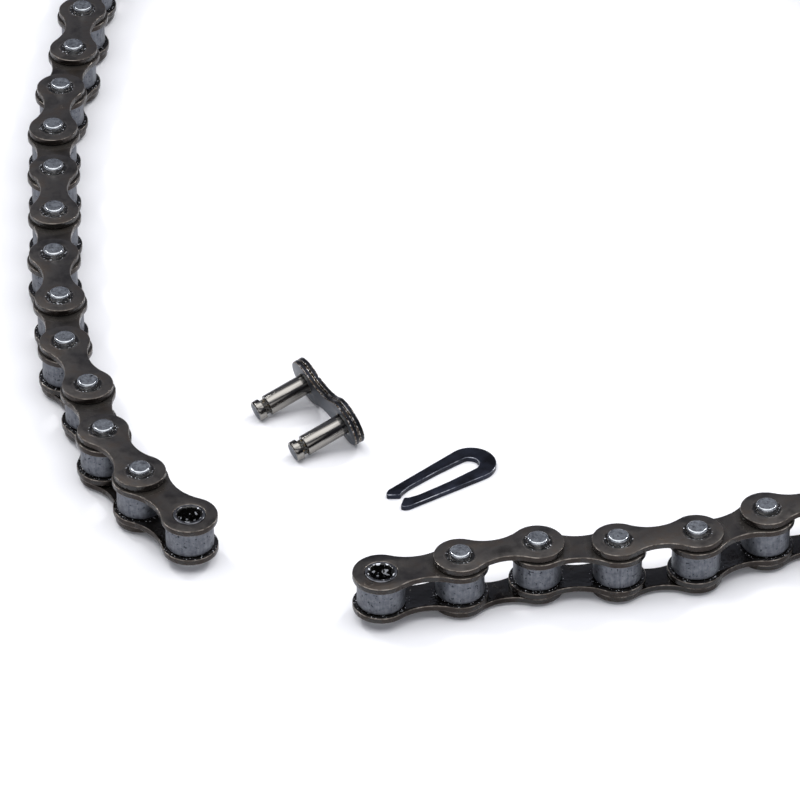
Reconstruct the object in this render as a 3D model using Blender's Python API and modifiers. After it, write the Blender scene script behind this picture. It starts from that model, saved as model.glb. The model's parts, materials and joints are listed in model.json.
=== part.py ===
"""Roller chain lying on its side, with its connecting link and spring clip beside the open ends.

The chain is one strand of links. Odd links are inner links (two plates, two bushes, two rollers)
and even links are outer links (two plates, two pins). The links turn on upright pins, so the strand
lies flat and runs round in a wide open loop. The last inner link, the outer link beside it, the
first inner link and the connecting link are taken apart into their real pieces. Every other link is
one solid.
"""

from math import atan, atan2, cos, degrees, hypot, pi, radians, sin, sqrt

import bmesh
import bpy

MM = 0.001

# Driving dimensions of the chain
PITCH = 12.7 * MM
PLATE_T = 1.0 * MM
INNER_WIDTH = 4.8 * MM
PLATE_GAP = 0.3 * MM
HEAD_STAND = 0.65 * MM
INNER_PLATE_R = 4.55 * MM
INNER_WAIST_R = 2.9 * MM
OUTER_PLATE_R = 4.2 * MM
OUTER_WAIST_R = 2.3 * MM
ROLLER_R = 3.875 * MM
BUSH_R = 2.5 * MM
BUSH_BORE_R = 2.1 * MM
BUSH_STAND = 0.1 * MM
ROLLER_PLAY = 0.2 * MM
PIN_R = 1.75 * MM
JOINED_BORE_R = 2.2 * MM
FIT_GAP = 0.3 * MM
RIVET_EDGE = 0.2 * MM

# Heights above the surface that the pin heads rest on
OUTER_LOW = HEAD_STAND
INNER_LOW = OUTER_LOW + PLATE_T + PLATE_GAP
INNER_HIGH = INNER_LOW + PLATE_T + INNER_WIDTH
OUTER_HIGH = INNER_HIGH + PLATE_T + PLATE_GAP
CHAIN_HEIGHT = OUTER_HIGH + PLATE_T + HEAD_STAND

# Facets of the plain solids
END_STEPS = 7
WAIST_STEPS = 2
PIN_SIDES = 8
BORE_SIDES = 10
ROLLER_SIDES = 12
FINE_SIDES = 16
CRISP_ANGLE = 35
MERGE_GAP = 0.01 * MM

# The strand, in pitches and degrees. Each half starts at an open end and runs away from it.
LEFT_END = (0.0, 0.0)
LEFT_HEADINGS = (130, 120, 104, 110, 96.5, 97.5, 92.5, 93.5, 93, 87, 82.5, 85.5, 86.5)
LEFT_TURNS = ((1, -12), (3, -24), (4, 0))
RIGHT_END = (2.402, -1.156)
RIGHT_HEADINGS = (12.3, 15.5, 2.5, 9.8, 27.3)
RIGHT_TURNS = ((1, -12), (3, 24), (1, 3), (8, 0), (1, 14), (3, 18))
ROOT_LINK = 23

# Connecting link: its pins point along the floor, tipped down until their ends touch it
CONNECTING_AT = (1.778, 2.880)
CONNECTING_TURN = -60.3
CONNECTING_PLATE_T = 0.85 * MM
CONNECTING_PIN_LENGTH = 11.6 * MM
RIVET_STAND = 0.6 * MM
GROOVE_R = 1.3 * MM
GROOVE_WIDTH = 1.0 * MM
PIN_END_LENGTH = 1.25 * MM
PIN_END_CHAMFER = 0.25 * MM

# Spring clip: a flat hairpin, lying flat
CLIP_AT = (2.562, 1.09)
CLIP_TURN = 38.5
CLIP_T = 0.9 * MM
CLIP_LENGTH = 20.2 * MM
CLIP_BEND_R = 4.1 * MM
CLIP_SLOT_R = 1.65 * MM
CLIP_SLOT_END = 17.3 * MM
CLIP_LEG_HALF = 2.75 * MM
CLIP_STEPS = 8

COLLECTION = "drive_chain"
CUTTER_COLLECTION = "drive_chain_cutters"


def clear_scene():
    """Remove every object already in the scene."""
    for item in list(bpy.data.objects):
        bpy.data.objects.remove(item, do_unlink=True)


def new_collection(name):
    """Make a collection in the scene."""
    collection = bpy.data.collections.new(name)
    bpy.context.scene.collection.children.link(collection)
    return collection


def steel(name, colour, roughness, metallic):
    """Make a plain steel finish."""
    material = bpy.data.materials.new(name)
    material.use_nodes = True
    shader = material.node_tree.nodes["Principled BSDF"]
    shader.inputs["Base Color"].default_value = (*colour, 1.0)
    shader.inputs["Roughness"].default_value = roughness
    shader.inputs["Metallic"].default_value = metallic
    return material


# ---- the route of the strand ----

def spread_turns(heading, groups):
    """Carry a heading on through groups of (links, turn at each link)."""
    headings = []
    for count, turn in groups:
        for _ in range(count):
            heading += turn
            headings.append(heading)
    return headings


def half_strand(start, headings):
    """List the pin centres of a half, one pitch apart, from its open end."""
    centres = [start]
    for heading in headings:
        x, y = centres[-1]
        centres.append((x + cos(radians(heading)), y + sin(radians(heading))))
    return centres


def meeting_pin(a, b):
    """Return the pin centre that is one pitch from both a and b, on the outer side."""
    span = hypot(b[0] - a[0], b[1] - a[1])
    rise = sqrt(1.0 - (span / 2) ** 2)
    across = (-(b[1] - a[1]) / span, (b[0] - a[0]) / span)
    return ((a[0] + b[0]) / 2 + across[0] * rise, (a[1] + b[1]) / 2 + across[1] * rise)


def strand_centres():
    """List all pin centres in metres, round the middle of the strand's box, and that middle."""
    left = half_strand(LEFT_END, list(LEFT_HEADINGS) + spread_turns(LEFT_HEADINGS[-1], LEFT_TURNS))
    right = half_strand(RIGHT_END, list(RIGHT_HEADINGS) + spread_turns(RIGHT_HEADINGS[-1], RIGHT_TURNS))
    pins = left + [meeting_pin(left[-1], right[-1])] + right[::-1]
    middle = tuple((min(p[i] for p in pins) + max(p[i] for p in pins)) / 2 for i in (0, 1))
    return [((x - middle[0]) * PITCH, (y - middle[1]) * PITCH) for x, y in pins], middle


# ---- outlines ----

def arc(centre, radius, start, end, steps):
    """List the points of an arc, angles in radians, both ends included."""
    return [
        (centre[0] + radius * cos(start + (end - start) * i / steps),
         centre[1] + radius * sin(start + (end - start) * i / steps))
        for i in range(steps + 1)
    ]


def plate_outline(end_r, waist_r):
    """Outline of a figure-eight plate from pin (0, 0) to pin (PITCH, 0), round ends into hollow sides."""
    half = PITCH / 2
    side_r = (half ** 2 + waist_r ** 2 - end_r ** 2) / (2 * (end_r - waist_r))
    side_y = waist_r + side_r
    reach = atan2(side_y, -half)
    lean = pi - reach
    points = arc((PITCH, 0), end_r, -reach, reach, END_STEPS)
    points += arc((half, side_y), side_r, -lean, lean - pi, WAIST_STEPS)[1:-1]
    points += arc((0, 0), end_r, pi - reach, pi + reach, END_STEPS)
    points += arc((half, -side_y), side_r, pi - lean, lean, WAIST_STEPS)[1:-1]
    return points


def circle(centre, radius, sides):
    """List the corners of a regular polygon."""
    return arc(centre, radius, 0, 2 * pi, sides)[:-1]


def clip_outline():
    """Outline of the spring clip along +X, from its mouth at 0 round its bend and back up its slot."""
    bend = (CLIP_LENGTH - CLIP_BEND_R, 0)
    slot = (CLIP_SLOT_END - CLIP_SLOT_R, 0)
    mouth = [(1.0 * MM, CLIP_LEG_HALF), (0.2 * MM, 2.3 * MM), (0, 1.75 * MM), (1.7 * MM, 0.45 * MM)]
    throat = [(2.3 * MM, 0.85 * MM), (4.0 * MM, 1.3 * MM), (10.0 * MM, CLIP_SLOT_R)]
    outer = arc(bend, CLIP_BEND_R, radians(-95), radians(95), CLIP_STEPS)
    inner = arc(slot, CLIP_SLOT_R, radians(90), radians(-90), CLIP_STEPS)
    lower_mouth = [(x, -y) for x, y in mouth[::-1]]
    lower_throat = [(x, -y) for x, y in throat[::-1]]
    return lower_mouth + outer + mouth + throat + inner + lower_throat


# ---- solids ----

def outline_mesh(name, loops, bottom, thickness):
    """Mesh of a flat piece: an outline with its holes, extruded up from a height."""
    curve = bpy.data.curves.new(name, "CURVE")
    curve.dimensions = "2D"
    curve.fill_mode = "BOTH"
    curve.extrude = thickness / 2
    for loop in loops:
        spline = curve.splines.new("POLY")
        spline.points.add(len(loop) - 1)
        for point, (x, y) in zip(spline.points, loop):
            point.co = (x, y, 0, 1)
        spline.use_cyclic_u = True
    holder = bpy.data.objects.new(name, curve)
    bpy.context.scene.collection.objects.link(holder)
    evaluated = holder.evaluated_get(bpy.context.evaluated_depsgraph_get())
    mesh = bpy.data.meshes.new_from_object(evaluated)
    bpy.data.objects.remove(holder)
    bpy.data.curves.remove(curve)
    shape = bmesh.new()
    shape.from_mesh(mesh)
    bmesh.ops.remove_doubles(shape, verts=shape.verts, dist=MERGE_GAP)
    bmesh.ops.recalc_face_normals(shape, faces=shape.faces)
    bmesh.ops.translate(shape, verts=shape.verts, vec=(0, 0, bottom + thickness / 2))
    shape.to_mesh(mesh)
    shape.free()
    mesh.name = name
    return mesh


def cylinder_mesh(name, x, radius, bottom, top, sides):
    """Mesh of an upright cylinder whose axis stands at x."""
    shape = bmesh.new()
    bmesh.ops.create_cone(shape, cap_ends=True, segments=sides, radius1=radius, radius2=radius,
                          depth=top - bottom)
    bmesh.ops.translate(shape, verts=shape.verts, vec=(x, 0, (top + bottom) / 2))
    mesh = bpy.data.meshes.new(name)
    shape.to_mesh(mesh)
    shape.free()
    return mesh


def turned_mesh(name, profile, sides):
    """Mesh turned round Z from a closed profile of (radius, height), which runs down its outer side."""
    shape = bmesh.new()
    corners = [shape.verts.new((radius, 0, height)) for radius, height in profile]
    for start, end in zip(corners, corners[1:] + corners[:1]):
        if start.co.x > 0 or end.co.x > 0:
            shape.edges.new((start, end))
    mesh = bpy.data.meshes.new(name + "_profile")
    shape.to_mesh(mesh)
    shape.free()
    holder = bpy.data.objects.new(name, mesh)
    bpy.context.scene.collection.objects.link(holder)
    screw = holder.modifiers.new("turn", "SCREW")
    screw.steps = sides
    screw.render_steps = sides
    screw.use_merge_vertices = True
    screw.merge_threshold = MERGE_GAP
    evaluated = holder.evaluated_get(bpy.context.evaluated_depsgraph_get())
    turned = bpy.data.meshes.new_from_object(evaluated)
    bpy.data.objects.remove(holder)
    bpy.data.meshes.remove(mesh)
    turned.name = name
    return turned


def combined_mesh(name, base, steps, cutters):
    """Join or cut a mesh with others, given as (operation, mesh), and return the result."""
    body = bpy.data.objects.new(name, base)
    bpy.context.scene.collection.objects.link(body)
    tools = []
    for operation, mesh in steps:
        tool = bpy.data.objects.new(mesh.name, mesh)
        tool.hide_render = True
        tool.display_type = "WIRE"
        cutters.objects.link(tool)
        boolean = body.modifiers.new(mesh.name, "BOOLEAN")
        boolean.operation = operation
        boolean.object = tool
        tools.append(tool)
    evaluated = body.evaluated_get(bpy.context.evaluated_depsgraph_get())
    result = bpy.data.meshes.new_from_object(evaluated)
    for item in tools + [body]:
        bpy.data.objects.remove(item)
    result.name = name
    return result


def plate_mesh(name, end_r, waist_r, bottom, hole_r=None, sides=BORE_SIDES, thickness=PLATE_T):
    """Mesh of one plate, with or without its two holes."""
    loops = [plate_outline(end_r, waist_r)]
    if hole_r:
        loops += [circle((x, 0), hole_r, sides) for x in (0, PITCH)]
    return outline_mesh(name, loops, bottom, thickness)


def inner_link_mesh(cutters, with_rollers=True):
    """Mesh of a whole inner link: both plates, with bushes or rollers between them, bored through."""
    upper = plate_mesh("upper", INNER_PLATE_R, INNER_WAIST_R, INNER_HIGH)
    lower = plate_mesh("lower", INNER_PLATE_R, INNER_WAIST_R, INNER_LOW)
    barrel_r = ROLLER_R if with_rollers else BUSH_R
    sink = PLATE_T / 2
    steps = [("UNION", upper)]
    for x in (0, PITCH):
        barrel = cylinder_mesh("barrel", x, barrel_r, INNER_LOW + sink, INNER_HIGH + sink, ROLLER_SIDES)
        steps.append(("UNION", barrel))
    for x in (0, PITCH):
        bore = cylinder_mesh("bore", x, JOINED_BORE_R, 0, CHAIN_HEIGHT, BORE_SIDES)
        steps.append(("DIFFERENCE", bore))
    return combined_mesh("inner_link", lower, steps, cutters)


def outer_link_mesh(cutters):
    """Mesh of a whole outer link: both plates on two pins whose riveted heads stand proud."""
    lower = plate_mesh("lower", OUTER_PLATE_R, OUTER_WAIST_R, OUTER_LOW)
    steps = [("UNION", plate_mesh("upper", OUTER_PLATE_R, OUTER_WAIST_R, OUTER_HIGH))]
    for x in (0, PITCH):
        steps.append(("UNION", cylinder_mesh("pin", x, PIN_R, 0, CHAIN_HEIGHT, PIN_SIDES)))
    return combined_mesh("outer_link", lower, steps, cutters)


def tube_profile(inner_r, outer_r, bottom, top):
    """Profile of a plain tube."""
    return [(outer_r, top), (outer_r, bottom), (inner_r, bottom), (inner_r, top)]


def connecting_pin_profile():
    """Profile of a connecting pin: rivet stub at the bottom, shank, clip groove and end disc."""
    groove_top = CONNECTING_PIN_LENGTH - PIN_END_LENGTH
    groove_bottom = groove_top - GROOVE_WIDTH
    return [
        (0, CONNECTING_PIN_LENGTH),
        (PIN_R - PIN_END_CHAMFER, CONNECTING_PIN_LENGTH),
        (PIN_R, CONNECTING_PIN_LENGTH - PIN_END_CHAMFER),
        (PIN_R, groove_top),
        (GROOVE_R, groove_top),
        (GROOVE_R, groove_bottom),
        (PIN_R, groove_bottom),
        (PIN_R, -RIVET_STAND),
        (0, -RIVET_STAND),
    ]


def riveted_pin_profile():
    """Profile of a chain pin with both ends peened over slightly."""
    return [
        (0, CHAIN_HEIGHT),
        (PIN_R - RIVET_EDGE, CHAIN_HEIGHT),
        (PIN_R, CHAIN_HEIGHT - RIVET_EDGE),
        (PIN_R, RIVET_EDGE),
        (PIN_R - RIVET_EDGE, 0),
        (0, 0),
    ]


# ---- placing ----

class Chain:
    """The chain's collection, its finishes and the pieces added to it."""

    def __init__(self):
        self.parts = new_collection(COLLECTION)
        self.cutters = new_collection(CUTTER_COLLECTION)
        self.pins, self.middle = strand_centres()
        self.finishes = {
            "plate": steel("oiled_dark_steel", (0.045, 0.040, 0.036), 0.42, 0.85),
            "roller": steel("matte_roller_steel", (0.25, 0.27, 0.31), 0.55, 0.75),
            "pin": steel("polished_pin_steel", (0.42, 0.45, 0.47), 0.25, 1.0),
            "blued": steel("blued_spring_steel", (0.020, 0.022, 0.035), 0.38, 0.8),
        }

    def add(self, name, mesh, finish, place=(0, 0, 0), turn=(0, 0, 0), parent=None):
        """Add one piece at its place, shaded smooth with its edges kept sharp."""
        mesh.materials.clear()
        mesh.materials.append(self.finishes[finish])
        mesh.shade_smooth()
        mesh.set_sharp_from_angle(angle=radians(CRISP_ANGLE))
        piece = bpy.data.objects.new(name, mesh)
        piece.location = place
        piece.rotation_euler = turn
        piece.parent = parent
        self.parts.objects.link(piece)
        return piece

    def link_frame(self, number):
        """Return a link's hinge centre and its heading: away from the root link, about its own hinge."""
        here, there = (number, number - 1) if number < ROOT_LINK else (number - 1, number)
        x, y = self.pins[here]
        heading = atan2(self.pins[there][1] - y, self.pins[there][0] - x)
        return (x, y, 0), (0, 0, heading)

    def local_place(self, point):
        """Turn a place in pitches, counted from the left open end, into metres in the chain's frame."""
        return ((point[0] - self.middle[0]) * PITCH, (point[1] - self.middle[1]) * PITCH)

    def add_joined_links(self):
        """Add every link that stays one solid."""
        inner = inner_link_mesh(self.cutters)
        outer = outer_link_mesh(self.cutters)
        last = len(self.pins) - 1
        for number in range(2, last - 1):
            kind, mesh = ("inner", inner) if number % 2 else ("outer", outer)
            place, turn = self.link_frame(number)
            self.add(f"{kind}_link_{number:02d}", mesh, "plate", place, turn)

    def add_rollers(self, prefix, number):
        """Add the two free rollers of a link, each about its own bush."""
        profile = tube_profile(BUSH_R + FIT_GAP, ROLLER_R, INNER_LOW + PLATE_T + ROLLER_PLAY,
                               INNER_HIGH - ROLLER_PLAY)
        roller = turned_mesh("roller", profile, FINE_SIDES)
        for label, pin in (("a", number - 1), ("b", number)):
            x, y = self.pins[pin]
            self.add(f"{prefix}_roller_{label}", roller, "roller", (x, y, 0))

    def add_left_end_link(self):
        """Add the first inner link: its plates on two bushes as one frame, and two rollers."""
        place, turn = self.link_frame(1)
        self.add("left_end_link_frame", inner_link_mesh(self.cutters, with_rollers=False), "plate", place, turn)
        self.add_rollers("left_end", 1)

    def add_right_end_link(self):
        """Add the last inner link in its real pieces."""
        number = len(self.pins) - 1
        place, turn = self.link_frame(number)
        for label, bottom in (("upper", INNER_HIGH), ("lower", INNER_LOW)):
            name = f"right_end_{label}_plate"
            plate = plate_mesh(name, INNER_PLATE_R, INNER_WAIST_R, bottom, BUSH_R + FIT_GAP, FINE_SIDES)
            self.add(name, plate, "plate", place, turn)
        profile = tube_profile(BUSH_BORE_R, BUSH_R, INNER_LOW - BUSH_STAND,
                               INNER_HIGH + PLATE_T + BUSH_STAND)
        bush = turned_mesh("bush", profile, FINE_SIDES)
        for label, pin in (("a", number - 1), ("b", number)):
            x, y = self.pins[pin]
            self.add(f"right_end_bush_{label}", bush, "pin", (x, y, 0))
        self.add_rollers("right_end", number)

    def add_open_outer_link(self):
        """Add the outer link beside the right end link in its real pieces."""
        number = len(self.pins) - 2
        place, turn = self.link_frame(number)
        for label, bottom in (("upper", OUTER_HIGH), ("lower", OUTER_LOW)):
            name = f"outer_link_{number}_{label}_plate"
            plate = plate_mesh(name, OUTER_PLATE_R, OUTER_WAIST_R, bottom, PIN_R + FIT_GAP, FINE_SIDES)
            self.add(name, plate, "plate", place, turn)
        rivet = turned_mesh("riveted_pin", riveted_pin_profile(), FINE_SIDES)
        for label, pin in (("a", number - 1), ("b", number)):
            x, y = self.pins[pin]
            self.add(f"outer_link_{number}_pin_{label}", rivet, "pin", (x, y, 0))

    def add_connecting_link(self):
        """Add the connecting link on its side: fixed plate, two grooved pins and the loose plate."""
        cover_bottom = CONNECTING_PLATE_T + FIT_GAP
        cover_top = cover_bottom + CONNECTING_PLATE_T
        tip = atan((OUTER_PLATE_R - PIN_R) / (CONNECTING_PIN_LENGTH - cover_top))
        x, y = self.local_place(CONNECTING_AT)
        rest = OUTER_PLATE_R * cos(tip) + cover_top * sin(tip)
        frame = bpy.data.objects.new("connecting_link_frame", None)
        frame.location = (x, y, rest)
        frame.rotation_euler = (pi / 2 + tip, 0, radians(CONNECTING_TURN))
        self.parts.objects.link(frame)
        for name, bottom in (("connecting_link_plate", 0), ("connecting_link_cover_plate", cover_bottom)):
            plate = plate_mesh(name, OUTER_PLATE_R, OUTER_WAIST_R, bottom, PIN_R + FIT_GAP, FINE_SIDES,
                               CONNECTING_PLATE_T)
            self.add(name, plate, "blued", (-PITCH / 2, 0, 0), parent=frame)
        pin = turned_mesh("connecting_pin", connecting_pin_profile(), FINE_SIDES)
        for label, side in (("a", -1), ("b", 1)):
            self.add(f"connecting_link_pin_{label}", pin, "pin", (side * PITCH / 2, 0, 0), parent=frame)

    def add_spring_clip(self):
        """Add the spring clip, flat on the surface."""
        mesh = outline_mesh("spring_clip", [clip_outline()], 0, CLIP_T)
        x, y = self.local_place(CLIP_AT)
        self.add("spring_clip", mesh, "blued", (x, y, 0), (0, 0, radians(CLIP_TURN)))


def main():
    """Build the whole chain."""
    clear_scene()
    chain = Chain()
    chain.add_left_end_link()
    chain.add_joined_links()
    chain.add_open_outer_link()
    chain.add_right_end_link()
    chain.add_connecting_link()
    chain.add_spring_clip()
    bpy.context.view_layer.update()
    print("links", len(chain.pins) - 1, "height mm", round(CHAIN_HEIGHT / MM, 2),
          "connecting link tip", round(degrees(chain.parts.objects["connecting_link_frame"].rotation_euler[0]) - 90, 1))


main()
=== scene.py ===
"""Looks of a light roller chain that lies on its side, with its connecting link and spring clip apart.

Every link of the strand is dressed with its real pieces: plates, bushes, rollers and riveted pins.
Each kind of piece is modelled once at the middle of its link, and copied to every place where the
frame has such a link. Heights and places are read from the frame.
"""

from __future__ import annotations

import json
import logging
from dataclasses import dataclass
from enum import Enum
from math import atan2, cos, pi, radians, sin
from typing import Any, Callable, Iterable, Sequence

import bmesh
import bpy
from mathutils import Matrix, Vector


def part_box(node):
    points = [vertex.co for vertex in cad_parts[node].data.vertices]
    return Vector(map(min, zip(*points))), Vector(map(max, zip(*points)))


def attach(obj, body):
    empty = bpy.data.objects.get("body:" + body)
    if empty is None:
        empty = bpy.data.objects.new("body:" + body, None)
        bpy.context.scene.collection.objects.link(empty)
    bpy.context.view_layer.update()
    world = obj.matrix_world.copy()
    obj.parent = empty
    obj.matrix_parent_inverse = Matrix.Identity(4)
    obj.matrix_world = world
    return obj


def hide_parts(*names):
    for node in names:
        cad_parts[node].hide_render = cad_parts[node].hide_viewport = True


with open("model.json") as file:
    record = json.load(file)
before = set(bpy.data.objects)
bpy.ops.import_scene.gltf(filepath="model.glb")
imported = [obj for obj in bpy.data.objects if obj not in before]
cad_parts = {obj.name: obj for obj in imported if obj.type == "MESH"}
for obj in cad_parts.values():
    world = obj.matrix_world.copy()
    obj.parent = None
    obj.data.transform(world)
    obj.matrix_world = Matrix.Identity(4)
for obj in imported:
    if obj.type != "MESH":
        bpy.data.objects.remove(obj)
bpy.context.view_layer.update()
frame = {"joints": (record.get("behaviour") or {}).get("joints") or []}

log = logging.getLogger("drive_chain")

MM = 0.001
PLAN_MAP = "plan_in_pitches"
TURNED_PLACE = "place_on_turned_piece"
NOISE_LOW, NOISE_HIGH = 0.3, 0.7  # nearly all of a noise lies between these
GLINT_RIM = 0.04  # how much more noise takes a painted glint from its edge to its full brightness
STREAK_FROM, STREAK_FULL, STREAK_SHIFT, STREAK_WET = 0.62, 0.75, 0.4, 0.9
DRAWN_STRETCH = (2.2, 2.2, 0.1)  # a pattern's scale across and along a drawn pin
UPRIGHT_STRETCH = (1.0, 1.0, 0.12)
SMOOTH = {"interpolation_type": "SMOOTHSTEP"}
COLOURS = {"data_type": "RGBA"}
TOUCH = 0.005 * MM  # a corner this close to a place is the one that is meant
DOUBLE = 0.002 * MM  # corners closer than this are merged
SKIN = 0.01 * MM  # a face's middle this close to a surface lies on it
WALL_TILT = 0.5
SHARP_ANGLE, PLATE_CREASE, TURNED_CREASE = 40.0, 32.0, 36.0  # in degrees
EDGE_FACETS = 3
Point = tuple[float, float]
Node = bpy.types.Node
Socket = bpy.types.NodeSocket
Piece = bpy.types.Object


class Side(Enum):
    """The two ends of a link or of a pin row, in the order of the strand."""

    A = "a"
    B = "b"


class Level(Enum):
    """The two plates of a link: the one near the floor and the one away from it."""

    LOWER = "lower"
    UPPER = "upper"


class Layer(Enum):
    """Material places in a piece's mesh: its main finish, its second one and its third one."""

    MAIN = 0
    SECOND = 1
    THIRD = 2


class Joined(Enum):
    """The ends of a link plate where a neighbour's plate rubs: their pins' places, in pitches."""

    BOTH = (0.0, 1.0)
    FIRST = (0.0,)
    LAST = (1.0,)


# ---- colours and nodes


def linear(code: str) -> tuple[float, float, float, float]:
    """Turn an sRGB hex colour into linear light.

    Args:
        code: six hex digits, with or without a leading #.

    Returns:
        Red, green, blue and an alpha of 1, all linear.
    """
    digits = code.lstrip("#")
    parts = [int(digits[i:i + 2], 16) / 255 for i in (0, 2, 4)]
    light = [v / 12.92 if v <= 0.04045 else ((v + 0.055) / 1.055) ** 2.4 for v in parts]
    return (light[0], light[1], light[2], 1.0)


def noise(size_mm: float, detail: float, roughness: float = 0.5) -> dict[str, float]:
    """Return a noise's values, its pattern as wide as a real size in millimetres."""
    return {"Scale": 1 / (size_mm * MM), "Detail": detail, "Roughness": roughness}


def span(low: float, high: float, start: float = 0.0, end: float = 1.0) -> dict[str, float]:
    """Return the values that turn the range from low to high into the one from start to end."""
    return {"From Min": low, "From Max": high, "To Min": start, "To Max": end}


class Canvas:
    """A material being filled in: its nodes, its shader and the coordinates that its patterns follow."""

    def __init__(self, name: str) -> None:
        """Make an empty material.

        Args:
            name: the material's name.
        """
        self.material = bpy.data.materials.new(name)
        self.material.use_nodes = True
        self.tree = self.material.node_tree
        self.tree.nodes.clear()
        self.shader = self.add("BsdfPrincipled")
        self.add("OutputMaterial", links={"Surface": self.shader})
        self.place = self.add("TexCoord").outputs["Object"]

    def fill(self, node: Node, values: dict[Any, Any] | None, links: dict[Any, Node | Socket] | None) -> None:
        """Set some of a node's sockets and feed others.

        Args:
            node: the node.
            values: sockets, by name or number, and what to set them to; a colour is in sRGB hex.
            links: sockets, by name or number, and what feeds each: an output, or the node whose first
                output in use does.
        """
        for name, value in (values or {}).items():
            node.inputs[name].default_value = linear(value) if isinstance(value, str) else value
        for name, source in (links or {}).items():
            if isinstance(source, Node):
                source = next(output for output in source.outputs if output.enabled)
            self.tree.links.new(source, node.inputs[name])

    def add(self, kind: str, props: dict[str, Any] | None = None, values: dict[Any, Any] | None = None,
            links: dict[Any, Node | Socket] | None = None, stops: Sequence[tuple[float, str]] = ()) -> Node:
        """Add one node with its settings and its links.

        Args:
            kind: the node's type name, without its ShaderNode prefix.
            props: attributes to set on the node.
            values: sockets to set, as in fill.
            links: sockets to feed, as in fill.
            stops: places and sRGB colours of a colour ramp, in order; two or three.

        Returns:
            The new node.
        """
        node = self.tree.nodes.new("ShaderNode" + kind)
        for name, value in (props or {}).items():
            setattr(node, name, value)
        self.fill(node, values, links)
        if len(stops) > 2:
            node.color_ramp.elements.new(0.5)
        for number, (place, code) in enumerate(stops):
            node.color_ramp.elements[number].position = place
            node.color_ramp.elements[number].color = linear(code)
        return node

    def painted_glints(self, size_mm: float, threshold: float) -> Node:
        """Scatter small bright spots: painted glints, standing in for the lamps caught by beads of oil.

        Args:
            size_mm: the glints' spacing.
            threshold: the noise above which a glint shows; a higher one gives fewer glints.

        Returns:
            The node that gives 1 on a glint and 0 elsewhere.
        """
        glint_mask = self.add("TexNoise", values=noise(size_mm, 1.0), links={"Vector": self.place})
        return self.add("MapRange", SMOOTH, span(threshold, threshold + GLINT_RIM), {"Value": glint_mask})


# ---- finishes


@dataclass(frozen=True)
class Finish:
    """A material of the chain, and the slot of the record that it belongs to."""

    name: str
    slot: str

    def material(self) -> bpy.types.Material:
        """Return this finish's material, made the first time it is asked for.

        Returns:
            The material.
        """
        found = bpy.data.materials.get(self.name)
        if found:
            return found
        canvas = Canvas(self.name)
        self.dress(canvas)
        return canvas.material

    def dress(self, canvas: Canvas) -> None:
        """Fill the shader's sockets; each finish has its own way."""
        raise NotImplementedError


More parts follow.
